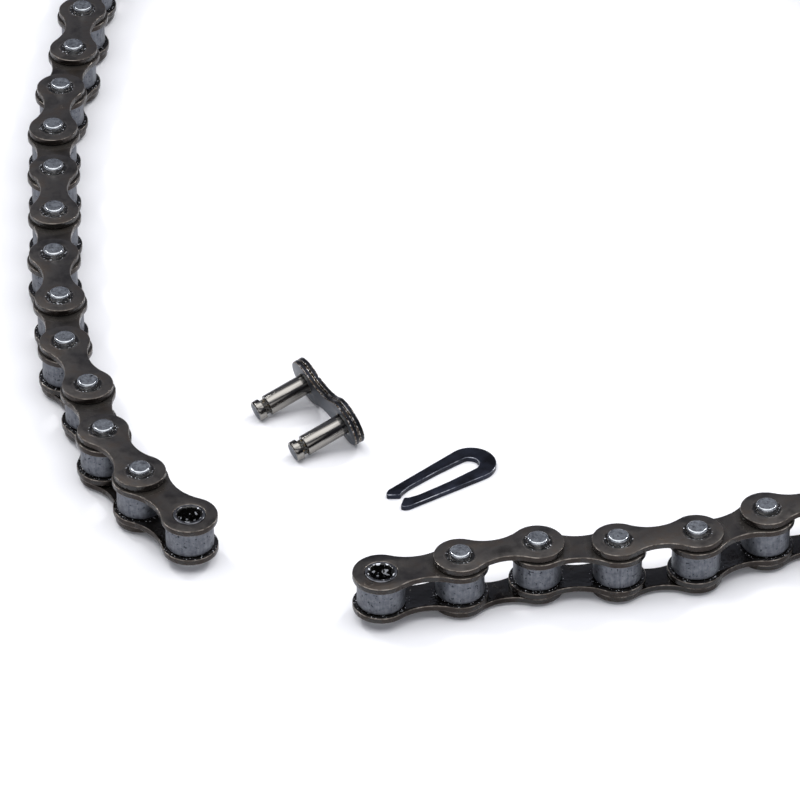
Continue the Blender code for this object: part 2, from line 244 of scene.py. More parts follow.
@dataclass(frozen=True)
class TumbledPlateSteel(Finish):
    """Hardened carbon steel plate, stamped, tumbled and oiled: brown-black and satin, wet by its pins.

    Reaches are in pitches from a pin. The clouds are as wide as the marks that tumbling leaves. The grain
    is drawn coarser than the real one, so that it shows. Bright flecks near the pins are painted glints.
    """

    dark: str = "#474442"
    light: str = "#605c58"
    brown: str = "#595048"
    oil: str = "#0d0b09"
    # the bright flecks near the pins and their settings: painted glints, standing in for lamps caught by the
    # oil
    glint_colour: str = "#d9dbe0"
    oil_reach: float = 0.19
    oil_fade: float = 0.02
    glint_reach: float = 0.19
    glint_mm: float = 0.3
    glint_threshold: float = 0.67
    # the patch where a neighbour's plate lies over this one: darker as grime and as painted shade
    grime_and_shade_reach: float = 0.0
    grime_and_shade_fade: float = 0.05
    grime_and_shade: float = 0.55
    joined: Joined = Joined.BOTH
    soaking: float = 0.0
    satin: tuple[float, float] = (0.3, 0.4)
    wet: float = 0.09
    cloud_mm: float = 4.0
    ragged_mm: float = 0.8
    grain_mm: float = 0.25
    bead_mm: float = 0.45
    grain_depth: float = 0.01 * MM
    bead_rise: float = 11.0

    def patch(self, canvas: Canvas, joined: Joined, ragged: Node, reach: float, fade: float,
              strength: float = 1.0) -> Node:
        """Mask the ground near the joined pins, up to a ragged line round them.

        Args:
            canvas: the material.
            joined: which of the two pins count.
            ragged: a noise from 0 to 1 that breaks the line up.
            reach: how far the patch goes, in pitches.
            fade: how far it takes to fade out, in pitches.
            strength: the mask's value near the pins.

        Returns:
            The node that gives the mask.
        """
        shift = canvas.add("Math", {"operation": "MULTIPLY_ADD"}, {1: 2 * fade, 2: -fade}, {0: ragged})
        plan = canvas.add("UVMap", {"uv_map": PLAN_MAP})
        spans = [canvas.add("VectorMath", {"operation": "DISTANCE"}, {1: (x, 0.0, 0.0)}, {0: plan})
                 for x in joined.value]
        nearest = spans[0] if len(spans) == 1 else canvas.add("Math", {"operation": "MINIMUM"},
                                                              links=dict(enumerate(spans)))
        near = canvas.add("Math", {"operation": "ADD"}, links={0: nearest, 1: shift})
        return canvas.add("MapRange", SMOOTH, span(reach - fade, reach + fade, strength, 0.0),
                          {"Value": near})

    def oil_grime_and_shade(self, canvas: Canvas, clouds: Node, ragged: Node) -> Node:
        """Mask the oil and the darkening: a ring round each pin, grime and painted shade where a neighbour's
        plate lies over this one, and streaks between.

        Args:
            canvas: the material.
            clouds: the slow noise of the surface.
            ragged: the quick noise that breaks up the ring's edge.

        Returns:
            The node that gives 1 in the wet, less in the grime and painted shade, and 0 on dry steel.
        """
        ring = self.patch(canvas, Joined.BOTH, ragged, self.oil_reach, self.oil_fade)
        grime_and_shade = self.patch(canvas, self.joined, clouds, self.grime_and_shade_reach, self.grime_and_shade_fade, self.grime_and_shade)
        near = canvas.add("Math", {"operation": "MAXIMUM"}, links={0: ring, 1: grime_and_shade})
        shift = STREAK_SHIFT * self.soaking
        streaks = canvas.add("MapRange", SMOOTH, span(STREAK_FROM - shift, STREAK_FULL - shift, 0.0,
                                                      STREAK_WET), {"Value": clouds})
        return canvas.add("Math", {"operation": "MAXIMUM"}, links={0: near, 1: streaks})

    def dress(self, canvas: Canvas) -> None:
        """Cloudy brown-black steel, darker as grime and painted shade where a neighbour's plate lies over it,
        with a wet black ring and painted glints round each pin.

        Args:
            canvas: the material.
        """
        place = {"Vector": canvas.place}
        clouds = canvas.add("TexNoise", values=noise(self.cloud_mm, 5.0, 0.65), links=place)
        ragged = canvas.add("TexNoise", values=noise(self.ragged_mm, 3.0), links=place)
        tint = canvas.add("ValToRGB", links={"Fac": clouds},
                          stops=((0.3, self.dark), (0.5, self.light), (0.7, self.brown)))
        oil_and_shade_mask = self.oil_grime_and_shade(canvas, clouds, ragged)
        oil_and_shade_tint = canvas.add("Mix", COLOURS, {7: self.oil}, {0: oil_and_shade_mask, 6: tint})
        # painted glints: bright spots scattered near the pins
        near = self.patch(canvas, Joined.BOTH, ragged, self.glint_reach, self.oil_fade)
        glint_mask = canvas.add("Math", {"operation": "MULTIPLY"},
                          links={0: near, 1: canvas.painted_glints(self.glint_mm, self.glint_threshold)})
        satin = canvas.add("MapRange", values=span(NOISE_LOW, NOISE_HIGH, *self.satin),
                           links={"Value": clouds})
        grain = canvas.add("TexNoise", values=noise(self.grain_mm, 3.0), links=place)
        beads = canvas.add("TexNoise", values=noise(self.bead_mm, 1.0), links=place)
        relief = canvas.add("Mix", links={0: oil_and_shade_mask, 2: grain, 3: beads})
        depth = canvas.add("Math", {"operation": "MULTIPLY_ADD"}, {1: self.bead_rise, 2: 1.0}, {0: oil_and_shade_mask})
        raised = canvas.add("Math", {"operation": "MULTIPLY"}, links={0: relief, 1: depth})
        canvas.fill(canvas.shader, None, {
            # the colour: painted glints over the oil, the grime and the painted shade
            "Base Color": canvas.add("Mix", COLOURS, {7: self.glint_colour}, {0: glint_mask, 6: oil_and_shade_tint}),
            "Roughness": canvas.add("Mix", values={3: self.wet}, links={0: oil_and_shade_mask, 2: satin}),
            "Normal": canvas.add("Bump", values={"Distance": self.grain_depth}, links={"Height": raised}),
            # oil is no metal, so the bare steel's mirror fades out under it, and under the grime and painted
            # shade too
            "Metallic": canvas.add("Math", {"operation": "SUBTRACT"}, {0: 1.0}, {1: oil_and_shade_mask}),
        })


@dataclass(frozen=True)
class RubbedEdgeWithPaintedHighlight(Finish):
    """Bare steel where tumbling and handling have rubbed the dark finish off: broken bright stretches,
    lighter partly as a painted highlight of the edge.
    """

    bright: str = "#878079"
    worn: str = "#66605a"
    dull: str = "#48433f"
    patch_mm: float = 1.2
    polish: tuple[float, float] = (0.42, 0.26)
    metallic: float = 0.95

    def dress(self, canvas: Canvas) -> None:
        """Bright and dull stretches along the edge, the bright ones partly a painted highlight.

        Args:
            canvas: the material.
        """
        # bright stretches are partly wear and partly a painted highlight along the edge
        wear_and_highlight = canvas.add("TexNoise", values=noise(self.patch_mm, 4.0, 0.6), links={"Vector": canvas.place})
        tint = canvas.add("ValToRGB", links={"Fac": wear_and_highlight},
                          stops=((0.38, self.dull), (0.5, self.worn), (0.62, self.bright)))
        rough = canvas.add("MapRange", values=span(NOISE_LOW, NOISE_HIGH, *self.polish),
                           links={"Value": wear_and_highlight})
        canvas.fill(canvas.shader, {"Metallic": self.metallic}, {"Base Color": tint, "Roughness": rough})


@dataclass(frozen=True)
class BlastedSteel(Finish):
    """Case-hardened steel, shot blasted: even blue-grey and dull, with small dark pits and draw lines.

    The pits are drawn wider than the real ones, so that they show.
    """

    pale: str = "#777a80"
    deep: str = "#52555c"
    pit: str = "#23262c"
    mottle_mm: float = 0.8
    line_mm: float = 0.35
    line_share: float = 0.35
    pit_mm: float = 0.55
    pit_range: tuple[float, float, float, float] = (0.30, 0.36, 0.8, 0.0)
    depth: float = 0.02 * MM
    rough: float = 0.5
    metallic: float = 0.8

    def dress(self, canvas: Canvas) -> None:
        """Mottled grey with pits and faint upright lines.

        Args:
            canvas: the material.
        """
        place = {"Vector": canvas.place}
        mottle = canvas.add("TexNoise", values=noise(self.mottle_mm, 5.0, 0.65), links=place)
        tall = canvas.add("Mapping", values={"Scale": UPRIGHT_STRETCH}, links=place)
        lines = canvas.add("TexNoise", values=noise(self.line_mm, 2.0), links={"Vector": tall})
        blend = canvas.add("Mix", values={0: self.line_share}, links={2: mottle, 3: lines})
        tint = canvas.add("ValToRGB", links={"Fac": blend}, stops=((0.36, self.deep), (0.62, self.pale)))
        specks = canvas.add("TexNoise", values=noise(self.pit_mm, 1.0), links=place)
        pits = canvas.add("MapRange", SMOOTH, span(*self.pit_range), {"Value": specks})
        canvas.fill(canvas.shader, {"Roughness": self.rough, "Metallic": self.metallic}, {
            "Base Color": canvas.add("Mix", COLOURS, {7: self.pit}, {0: pits, 6: tint}),
            "Normal": canvas.add("Bump", values={"Distance": self.depth}, links={"Height": mottle}),
        })


@dataclass(frozen=True)
class GroundPinSteel(Finish):
    """Hardened steel, centreless ground: bright and smooth, clouded a little where its oil film is thick.

    A drawn one keeps the lengthwise lines of the wire that it was cut from. The grinding marks are drawn
    coarser than the real ones, so that they show.
    """

    tone: str
    shade: str
    gloss: float
    drawn: bool = False
    wetter: float = 0.06
    drier: float = 0.1
    film_mm: float = 1.2
    scratch_mm: float = 0.15
    depth: float = 0.004 * MM

    def dress(self, canvas: Canvas) -> None:
        """Bright steel with a clouded film, or with lines along a drawn pin.

        Args:
            canvas: the material.
        """
        place = {"Vector": canvas.place}
        if self.drawn:
            along = canvas.add("Attribute", {"attribute_name": TURNED_PLACE}).outputs["Vector"]
            place = {"Vector": canvas.add("Mapping", values={"Scale": DRAWN_STRETCH},
                                          links={"Vector": along})}
        film = canvas.add("TexNoise", values=noise(self.film_mm, 3.0), links=place)
        scratch = canvas.add("TexNoise", values=noise(self.scratch_mm, 2.0), links=place)
        canvas.fill(canvas.shader, {"Metallic": 1.0}, {
            "Base Color": canvas.add("ValToRGB", links={"Fac": film},
                                     stops=((0.35, self.shade), (0.6, self.tone))),
            "Roughness": canvas.add("MapRange", values=span(NOISE_LOW, NOISE_HIGH, self.gloss - self.wetter,
                                                            self.gloss + self.drier), links={"Value": film}),
            "Normal": canvas.add("Bump", values={"Distance": self.depth}, links={"Height": scratch}),
        })


@dataclass(frozen=True)
class OilFilm(Finish):
    """Thick dark chain oil that clings in bores and grooves: black and wet, its beads catch the lamps, and
    its bright flecks are painted glints.
    """

    colour: str = "#0d0c0a"
    glint_colour: str = "#e6e9ee"
    bead_mm: float = 0.6
    bead_depth: float = 0.3 * MM
    glint_threshold: float = 0.62
    rough: float = 0.06

    def dress(self, canvas: Canvas) -> None:
        """Glossy black with beads, and bright flecks as painted glints.

        Args:
            canvas: the material.
        """
        beads = canvas.add("TexNoise", values=noise(self.bead_mm, 1.0), links={"Vector": canvas.place})
        glint_mask = canvas.painted_glints(self.bead_mm, self.glint_threshold)
        canvas.fill(canvas.shader, {"Roughness": self.rough}, {
            "Base Color": canvas.add("Mix", COLOURS, {6: self.colour, 7: self.glint_colour}, {0: glint_mask}),
            "Normal": canvas.add("Bump", values={"Distance": self.bead_depth}, links={"Height": beads}),
        })


@dataclass(frozen=True)
class BluedSpringSteel(Finish):
    """Spring steel, oil-quenched and blued: nearly black with a cold blue cast and a soft oil sheen.

    Its grain is drawn coarser than the real one, so that it shows.
    """

    black: str = "#14151c"
    blue: str = "#2a2e3b"
    cloud_mm: float = 2.5
    grain_mm: float = 0.2
    depth: float = 0.008 * MM
    satin: tuple[float, float] = (0.3, 0.46)
    metallic: float = 0.8

    def dress(self, canvas: Canvas) -> None:
        """Blue-black oxide with slow clouds.

        Args:
            canvas: the material.
        """
        place = {"Vector": canvas.place}
        clouds = canvas.add("TexNoise", values=noise(self.cloud_mm, 5.0, 0.6), links=place)
        grain = canvas.add("TexNoise", values=noise(self.grain_mm, 2.0), links=place)
        canvas.fill(canvas.shader, {"Metallic": self.metallic}, {
            "Base Color": canvas.add("ValToRGB", links={"Fac": clouds},
                                     stops=((0.35, self.black), (0.65, self.blue))),
            "Roughness": canvas.add("MapRange", values=span(NOISE_LOW, NOISE_HIGH, *self.satin),
                                    links={"Value": clouds}),
            "Normal": canvas.add("Bump", values={"Distance": self.depth}, links={"Height": grain}),
        })


OUTER_PLATE = TumbledPlateSteel("tumbled_outer_plate_steel", "plate_steel", dark="#4c4946", light="#67635f",
                                brown="#60564d")
# inner and end plates: darker near the ends that a neighbour's plate lies over, as grime and painted shade
INNER_PLATE = TumbledPlateSteel("tumbled_inner_plate_steel", "plate_steel", grime_and_shade_reach=0.42)
FIRST_PLATE = TumbledPlateSteel("tumbled_first_plate_steel", "plate_steel", grime_and_shade_reach=0.42,
                                joined=Joined.LAST)
LAST_PLATE = TumbledPlateSteel("tumbled_last_plate_steel", "plate_steel", grime_and_shade_reach=0.42,
                               joined=Joined.FIRST)
# lower plates: soaked in oil, and painted darker than the upper ones as shade, since they lie low under the
# links
SOAKED_SHADED_PLATE = TumbledPlateSteel("oil_soaked_painted_shade_plate_steel", "plate_steel", dark="#2b2826", light="#393635",
                                 brown="#352e29", oil_reach=0.42, glint_reach=0.35, soaking=0.7)
# plate walls: painted darker than the faces as shade, with oil streaks
SHADED_PLATE_WALL = TumbledPlateSteel("oiled_plate_wall_painted_shade", "plate_steel", dark="#2e2a28", light="#3d3835",
                               brown="#3b332c", oil_reach=0.0, glint_reach=0.0, soaking=0.4)
# plate edges: rubbed bare steel, painted lighter, partly as a painted highlight of the rim
PLATE_EDGE = RubbedEdgeWithPaintedHighlight("rubbed_plate_edge_painted_highlight", "plate_steel")
PIN_END = BlastedSteel("sheared_pin_end_steel", "pin_steel", pale="#6b6f76", deep="#3b3e44",
                       pit="#17181b")
ROLLER = BlastedSteel("blasted_roller_steel", "roller_steel")
CHAIN_PIN = GroundPinSteel("riveted_pin_steel", "pin_steel", tone="#b2b5b8", shade="#8e9296", gloss=0.22)
RIVET_END = BlastedSteel("struck_rivet_end_steel", "pin_steel", pale="#83878d", deep="#484b51",
                         pit="#202225")
CONNECTING_PIN = GroundPinSteel("drawn_connecting_pin_steel", "pin_steel", tone="#8f8c87",
                                shade="#3d3b39", gloss=0.13, drawn=True)
BUSH = GroundPinSteel("rolled_bush_steel", "bush_steel", tone="#75767a", shade="#444447", gloss=0.3)
BLUED = BluedSpringSteel("blued_spring_steel", "blued_steel")
BLUED_FACE = BluedSpringSteel("blued_plate_steel", "blued_steel", black="#2f3239", blue="#4e545c")
# connecting plate walls: painted darker than the faces as shade
SHADED_BLUED_WALL = BluedSpringSteel("blued_plate_wall_painted_shade", "blued_steel", black="#060607", blue="#1b1e26")
# clip edges: rubbed bare steel, painted light, partly as a painted highlight along the edge
BLUED_EDGE = RubbedEdgeWithPaintedHighlight("rubbed_blued_edge_painted_highlight", "blued_steel", bright="#b0b2ba", worn="#71747d",
                             dull="#3a3d46", patch_mm=1.6)
# connecting plate edges: the bright specks are painted glints and the brown stretches a painted sheen, over
# rubbed steel
PAINTED_GLINT_BLUED_EDGE = RubbedEdgeWithPaintedHighlight("blued_edge_painted_glints", "blued_steel", bright="#c6c4c2", worn="#5e4f3d",
                                 dull="#12141a", patch_mm=0.4)
# the bright spots in the bore's oil and the golden ones in the groove's are painted glints
BORE_OIL = OilFilm("oil_film_in_bore", "bush_steel", bead_mm=0.85)
GROOVE_OIL = OilFilm("oil_film_in_groove", "pin_steel", colour="#1a160b", glint_colour="#6d5a34", bead_mm=0.4)


# ---- modelling tools


def deselect_all() -> None:
    """Leave no object selected."""
    bpy.ops.object.select_all(action="DESELECT")


def take(piece: Piece) -> None:
    """Select one piece alone and make it the active one.

    Args:
        piece: the piece.
    """
    deselect_all()
    piece.select_set(True)
    bpy.context.view_layer.objects.active = piece


def spot(place: Sequence[float]) -> Vector:
    """Return a place as a vector, at height 0 if it has none."""
    return Vector((*place, 0.0)[:3])


class Bench:
    """One piece being modelled by hand: an object in edit mode, built from a single starting corner."""

    def __init__(self, name: str, start: Sequence[float]) -> None:
        """Start a piece from one corner.

        Args:
            name: the object's name.
            start: the corner's place.
        """
        deselect_all()
        bpy.ops.mesh.primitive_plane_add(size=MM, location=spot(start))
        self.piece = bpy.context.object
        self.piece.name = name
        bpy.ops.object.transform_apply(location=True, rotation=True, scale=True)
        bpy.ops.object.mode_set(mode="EDIT")
        bpy.ops.mesh.select_mode(type="VERT")
        bpy.ops.mesh.select_all(action="SELECT")
        bpy.ops.mesh.merge(type="CENTER")

    def tip(self) -> Vector:
        """Return the place of the corner that the outline has reached."""
        shape = bmesh.from_edit_mesh(self.piece.data)
        return next(v.co.copy() for v in shape.verts if v.select)

    def line_to(self, target: Sequence[float]) -> None:
        """Run a straight edge on to a target point."""
        step = spot(target) - self.tip()
        bpy.ops.mesh.extrude_region_move(TRANSFORM_OT_translate={"value": step})

    def arc_round(self, centre: Point, angle: float, steps: int) -> None:
        """Run an arc of some steps on round a centre, anticlockwise if its angle is positive."""
        bpy.ops.mesh.spin(steps=steps, angle=-angle, center=(*centre, 0.0), axis=(0, 0, 1))

    def pick(self, places: Iterable[Sequence[float]]) -> None:
        """Select only the corners that lie at some places.

        Args:
            places: the corners' places.
        """
        targets = [spot(place) for place in places]
        bpy.ops.mesh.select_all(action="DESELECT")
        bpy.ops.mesh.select_mode(type="VERT")
        shape = bmesh.from_edit_mesh(self.piece.data)
        for corner in shape.verts:
            if any((corner.co - target).length < TOUCH for target in targets):
                corner.select = True
        shape.select_flush(True)
        bmesh.update_edit_mesh(self.piece.data)

    def round_corners(self, places: Iterable[Sequence[float]], size: float, steps: int) -> None:
        """Round some corners of a flat outline or profile, each in a few steps."""
        self.pick(places)
        bpy.ops.mesh.bevel(affect="VERTICES", offset=size, offset_type="OFFSET", segments=steps)

    def close_loop(self, first: Sequence[float], last: Sequence[float]) -> None:
        """Join the two open ends of an outline with an edge."""
        self.pick((first, last))
        bpy.ops.mesh.edge_face_add()

    def fill_and_raise(self, thickness: float) -> None:
        """Fill a closed outline and raise it into a slab.

        Args:
            thickness: how thick the slab is.
        """
        bpy.ops.mesh.select_all(action="SELECT")
        bpy.ops.mesh.remove_doubles(threshold=DOUBLE)
        bpy.ops.mesh.select_all(action="SELECT")
        bpy.ops.mesh.edge_face_add()
        bpy.ops.mesh.extrude_region_move(TRANSFORM_OT_translate={"value": (0, 0, thickness)})
        self.tidy()

    def turn_round(self, sides: int) -> None:
        """Turn a profile that stands in the XZ plane once round Z.

        Args:
            sides: how many facets the round piece has.
        """
        bpy.ops.mesh.select_all(action="SELECT")
        bpy.ops.mesh.spin(steps=sides, angle=2 * pi, center=(0, 0, 0), axis=(0, 0, 1))
        self.tidy()

    def tidy(self) -> None:
        """Merge doubles and turn all faces outward."""
        bpy.ops.mesh.select_all(action="SELECT")
        bpy.ops.mesh.remove_doubles(threshold=DOUBLE)
        bpy.ops.mesh.normals_make_consistent(inside=False)

    def done(self) -> Piece:
        """Leave edit mode and return the piece."""
        bpy.ops.object.mode_set(mode="OBJECT")
        return self.piece


def apply_all(piece: Piece) -> None:
    """Apply all modifiers of a piece, in order.

    Args:
        piece: the piece.
    """
    take(piece)
    for modifier in list(piece.modifiers):
        bpy.ops.object.modifier_apply(modifier=modifier.name)


def bore(piece: Piece, centres: Iterable[Point], radius: float, depth: float, sides: int) -> None:
    """Cut round holes through a slab.

    Args:
        piece: the slab.
        centres: the holes' centres.
        radius: the holes' radius.
        depth: how far the cutters reach on both sides.
        sides: facets of each hole.
    """
    cutters = []
    for centre in centres:
        deselect_all()
        bpy.ops.mesh.primitive_cylinder_add(vertices=sides, radius=radius, depth=2 * depth,
                                            location=(*centre, 0))
        cutters.append(bpy.context.object)
        cut = piece.modifiers.new("hole", "BOOLEAN")
        cut.operation = "DIFFERENCE"
        cut.object = cutters[-1]
    apply_all(piece)
    for cutter in cutters:
        bpy.data.objects.remove(cutter)


def soften(piece: Piece, width: float) -> None:
    """Round a piece's sharp edges and give the roundings its second finish.

    Args:
        piece: the piece, with its faces finished.
        width: how wide the rounding is.
    """
    bevel = piece.modifiers.new("rounding", "BEVEL")
    bevel.width = width
    bevel.segments = EDGE_FACETS
    bevel.limit_method = "ANGLE"
    bevel.angle_limit = radians(SHARP_ANGLE)
    bevel.material = Layer.SECOND.value
    apply_all(piece)


def smooth(piece: Piece, crease: float) -> None:
    """Shade a piece smooth, with edges sharper than a crease angle in degrees kept crisp."""
    take(piece)
    bpy.ops.object.shade_smooth_by_angle(angle=radians(crease))


def map_plan(piece: Piece, pitch: float) -> None:
    """Store each corner's place in the plan of its link, in pitches, as a UV map.

    Args:
        piece: the plate.
        pitch: the distance between its holes.
    """
    layer = piece.data.uv_layers.get(PLAN_MAP) or piece.data.uv_layers.new(name=PLAN_MAP)
    for loop in piece.data.loops:
        place = piece.data.vertices[loop.vertex_index].co
        layer.data[loop.index].uv = (place.x / pitch, place.y / pitch)


def keep_turned_place(piece: Piece) -> None:
    """Store each corner's place on a turned piece, its axis along Z, so that patterns follow the piece.

    Args:
        piece: the turned piece.
    """
    layer = piece.data.attributes.new(TURNED_PLACE, "FLOAT_VECTOR", "POINT")
    for corner in piece.data.vertices:
        layer.data[corner.index].vector = corner.co


def dress(piece: Piece, *finishes: Finish) -> None:
    """Give a piece its finishes.

    Args:
        piece: the piece.
        finishes: the one for its faces, and the second and third ones if it has any.
    """
    piece.data.materials.clear()
    for finish in finishes:
        piece.data.materials.append(finish.material())


def assign(piece: Piece, body: str, node: str) -> None:
    """Put a piece on its body, in place of its CAD node.

    Args:
        piece: the finished piece.
        body: the body that it rides on.
        node: the CAD node that it stands for.
    """
    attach(piece, body)
    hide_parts(node)
    log.info("%s on %s", piece.name, body)


def put(master: Piece, name: str, matrix: Matrix, body: str, node: str) -> Piece:
    """Copy a finished piece to a place, with its own mesh and its object at the origin.

    Args:
        master: the piece modelled at the middle of its link.
        name: the copy's name.
        matrix: where the copy goes.
        body: the body that it rides on.
        node: the CAD node that it stands for.

    Returns:
        The copy.
    """
    mesh = master.data.copy()
    mesh.name = name
    mesh.transform(matrix)
    piece = bpy.data.objects.new(name, mesh)
    bpy.context.scene.collection.objects.link(piece)
    assign(piece, body, node)
    return piece


# ---- the strand's frame


class Strand:
    """Pin centres, heights and names of the chain, read from the frame."""

    def __init__(self) -> None:
        """Read the joints and boxes of the frame."""
        joints = {joint["name"]: joint for joint in frame["joints"]}
        inner = [Vector(joints[name]["pos_m"]) for name in sorted(joints) if name.startswith("pin_")]
        ends = [self.middle("left_end_roller_a"), self.middle("right_end_roller_b")]
        self.pins = [Vector((p.x, p.y)) for p in [ends[0], *inner, ends[1]]]
        self.links = len(self.pins) - 1
        self.pitch = (self.pins[2] - self.pins[1]).length
        outer = f"outer_link_{self.links - 1}"
        self.inner_heights, self.outer_heights = (
            {level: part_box(f"{link}_{level.value}_plate")[0].z for level in Level}
            for link in ("right_end", outer))
        self.plate_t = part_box("right_end_upper_plate")[1].z - self.inner_heights[Level.UPPER]
        self.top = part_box(f"{outer}_pin_a")[1].z
        self.slide_axis = Vector(joints["cover_plate_slide"]["axis"])

    @staticmethod
    def middle(node: str) -> Vector:
        """Find the middle of the box round one node.

        Args:
            node: the node's name.

        Returns:
            The middle.
        """
        low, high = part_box(node)
        return (low + high) / 2

    def place(self, number: int) -> Matrix:
        """Find where a link lies, modelled with its first pin at the origin and its second along X.

        Args:
            number: the link's number.

        Returns:
            The matrix that takes a master there.
        """
        start, end = self.pins[number - 1], self.pins[number]
        along = end - start
        turn = Matrix.Rotation(atan2(along.y, along.x), 4, "Z")
        return Matrix.Translation((start.x, start.y, 0)) @ turn

    def body(self, number: int) -> str:
        """Return the name of a link's body."""
        return f"link_{number:02d}"

    def is_inner(self, number: int) -> bool:
        """Tell whether a link is an inner link."""
        return number % 2 == 1


# ---- pieces, each modelled once


@dataclass
class Plate:
    """A figure-eight link plate with two holes, its edges rolled over."""

    end_r: float
    waist_r: float
    hole_r: float
    thickness: float
    edge: float = 0.11 * MM
    end_steps: int = 40
    waist_steps: int = 14
    hole_steps: int = 40

    def model(self, name: str, pitch: float, *finishes: Finish) -> Piece:
        """Model the plate with its lower face at height 0, its holes at the origin and one pitch along X.

        Args:
            name: the master's name.
            pitch: distance between the holes.
            finishes: those of the flat faces, the rolled edges and the walls.

        Returns:
            The finished master.
        """
        half = pitch / 2
        side_r = (half ** 2 + self.waist_r ** 2 - self.end_r ** 2) / (2 * (self.end_r - self.waist_r))
        side_y = self.waist_r + side_r
        reach = atan2(side_y, -half)
        hollow = pi - 2 * (pi - reach)
        bench = Bench(name, (pitch + self.end_r * cos(reach), -self.end_r * sin(reach)))
        bench.arc_round((pitch, 0), 2 * reach, self.end_steps)
        bench.arc_round((half, side_y), -hollow, self.waist_steps)
        bench.arc_round((0, 0), 2 * reach, self.end_steps)
        bench.arc_round((half, -side_y), -hollow, self.waist_steps)
        bench.fill_and_raise(self.thickness)
        plate = bench.done()
        bore(plate, ((0, 0), (pitch, 0)), self.hole_r, 4 * self.thickness, self.hole_steps)
        dress(plate, *finishes)
        # the walls take the third finish, painted darker than the faces as shade
        for face in plate.data.polygons:
            if abs(face.normal.z) < WALL_TILT:
                face.material_index = Layer.THIRD.value
        soften(plate, self.edge)
        map_plan(plate, pitch)
        smooth(plate, PLATE_CREASE)
        return plate


@dataclass
class Turned:
    """A round piece turned from a profile of (radius, height) corners.

    Fields: the corners, the rounding of each rounded corner by its number, whether the profile closes on
    itself, how many facets go round and in a rounding, and which finish the face at a place takes.
    """

    profile: Sequence[Point]
    rounding: dict[int, float]
    closed: bool
    sides: int = 48
    rounding_steps: int = 4
    layer: Callable[[Vector], Layer] | None = None

    def model(self, name: str, *finishes: Finish) -> Piece:
        """Turn the piece round the Z axis through the origin.

        Args:
            name: the master's name.
            finishes: its finish, and the second and third ones if it has any.

        Returns:
            The finished master.
        """
        corners = [(radius, 0.0, height) for radius, height in self.profile]
        bench = Bench(name, corners[0])
        for corner in corners[1:]:
            bench.line_to(corner)
        if self.closed:
            bench.close_loop(corners[0], corners[-1])
        for number, size in self.rounding.items():
            bench.round_corners([corners[number]], size, self.rounding_steps)
        bench.turn_round(self.sides)
        piece = bench.done()
        dress(piece, *finishes)
        if self.layer:
            for face in piece.data.polygons:
                face.material_index = self.layer(face.center).value
        keep_turned_place(piece)
        smooth(piece, TURNED_CREASE)
        return piece


